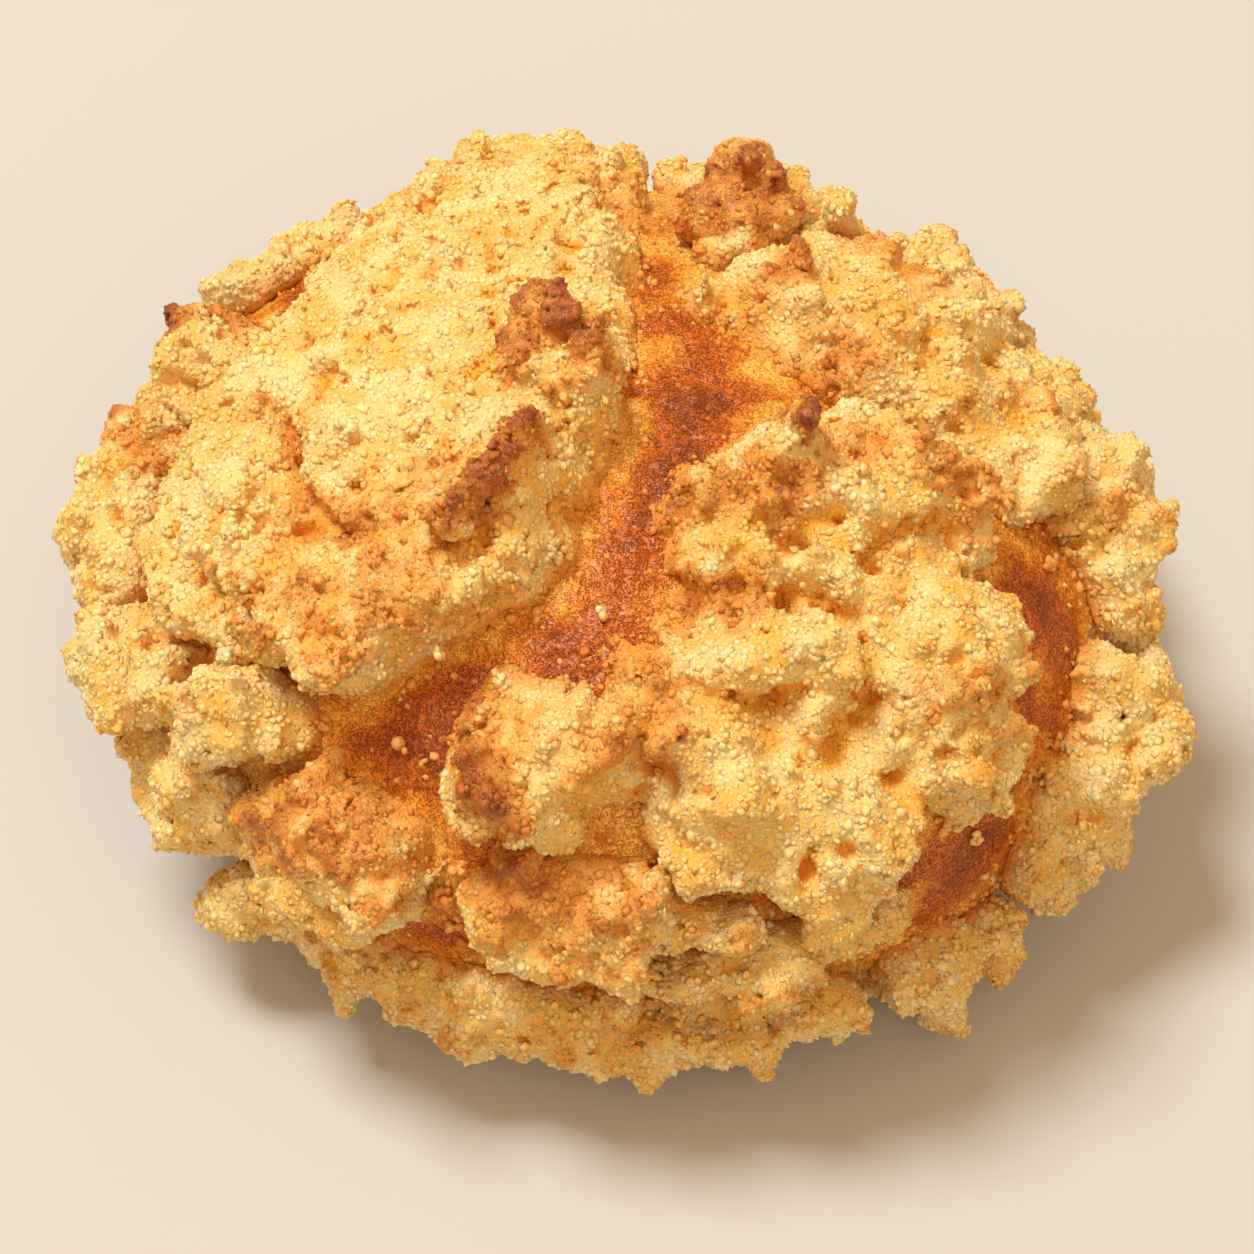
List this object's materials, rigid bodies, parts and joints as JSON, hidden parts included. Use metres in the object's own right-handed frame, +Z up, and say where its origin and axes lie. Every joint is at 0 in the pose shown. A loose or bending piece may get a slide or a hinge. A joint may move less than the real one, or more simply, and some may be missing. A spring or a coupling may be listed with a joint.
{
  "type": "streusel bun",
  "caption": "Round soft bread bun with a thick cracked crumb crust over its domed top and sides, on a flat baked base.",
  "frame": {"origin": "centre of the bun's box, in the plane of the flat base it stands on", "axes": "+Z up, +X along the bun's longest side, the side shown at the front towards -Y"},
  "size_m": [0.116, 0.1128, 0.0632],
  "materials": {
    "bread_crust": "baked, slightly glossy",
    "streusel": "rough, crumbly"
  },
  "bodies": {
    "root": {"bread": "bread_crust", "streusel_crown": "streusel", "streusel_right": "streusel", "streusel_rear_right": "streusel", "streusel_top_lump": "streusel", "streusel_left_edge": "streusel", "streusel_left_lump": "streusel", "streusel_left_slab": "streusel", "streusel_left_low": "streusel", "streusel_front_left": "streusel", "streusel_front": "streusel", "streusel_band": "streusel", "streusel_skirt": "streusel", "streusel_low_right": "streusel", "streusel_right_edge": "streusel", "streusel_right_lump": "streusel", "streusel_rear_edge": "streusel", "streusel_rear_high": "streusel", "streusel_rear_low": "streusel", "streusel_back_right": "streusel", "streusel_back": "streusel", "streusel_back_left": "streusel", "streusel_back_low": "streusel"}
  },
  "joints": []
}
